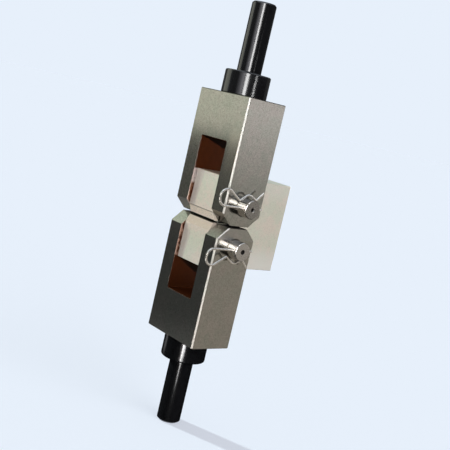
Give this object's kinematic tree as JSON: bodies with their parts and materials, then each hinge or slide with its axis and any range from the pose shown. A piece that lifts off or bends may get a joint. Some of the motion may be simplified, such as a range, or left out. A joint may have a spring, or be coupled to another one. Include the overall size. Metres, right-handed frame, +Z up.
{
  "type": "tensile test grip",
  "caption": "Slotted clevis grips on round black shanks, pinned above and below a notched compact specimen plate and kept by spring clips.",
  "frame": {"origin": "centre of the upper shank's free end face", "axes": "+Z up along the load line through both shanks, +X along the loading pins from their heads to their clips, +Y from the specimen's notch mouth towards its back edge"},
  "size_m": [0.0629, 0.0761, 0.2837],
  "materials": {
    "block_steel": "fine ground, satin",
    "black_steel": "turned and blackened",
    "pin_steel": "ground bright",
    "spring_wire": "bright drawn wire",
    "specimen_alloy": "ground, pale"
  },
  "bodies": {
    "upper_grip": {"upper_clevis": "block_steel", "upper_shank": "black_steel"},
    "upper_pin": {"upper_loading_pin": "pin_steel"},
    "upper_clip": {"upper_retaining_clip": "spring_wire"},
    "specimen": {"compact_specimen": "specimen_alloy"},
    "lower_grip": {"lower_clevis": "block_steel", "lower_shank": "black_steel"},
    "lower_pin": {"lower_loading_pin": "pin_steel"},
    "lower_clip": {"lower_retaining_clip": "spring_wire"}
  },
  "joints": [
    {"name": "specimen_swing", "type": "hinge", "parent": "upper_grip", "child": "specimen", "pos_m": [0, 0, -0.1281], "axis": [1, 0, 0], "range_deg": [-6, 6]},
    {"name": "lower_grip_swing", "type": "hinge", "parent": "specimen", "child": "lower_grip", "pos_m": [0, 0, -0.1556], "axis": [1, 0, 0], "range_deg": [-6, 6]},
    {"name": "upper_pin_turn", "type": "hinge", "parent": "upper_grip", "child": "upper_pin", "pos_m": [0, 0, -0.1281], "axis": [1, 0, 0], "range_deg": [-90, 25]},
    {"name": "lower_pin_turn", "type": "hinge", "parent": "lower_grip", "child": "lower_pin", "pos_m": [0, 0, -0.1556], "axis": [1, 0, 0], "range_deg": [-25, 90]},
    {"name": "upper_clip_pull", "type": "slide", "parent": "upper_pin", "child": "upper_clip", "axis": [0, -1, 0], "range_m": [0, 0.02], "deforming": ["upper_retaining_clip"]},
    {"name": "lower_clip_pull", "type": "slide", "parent": "lower_pin", "child": "lower_clip", "axis": [0, -1, 0], "range_m": [0, 0.02], "deforming": ["lower_retaining_clip"]}
  ]
}
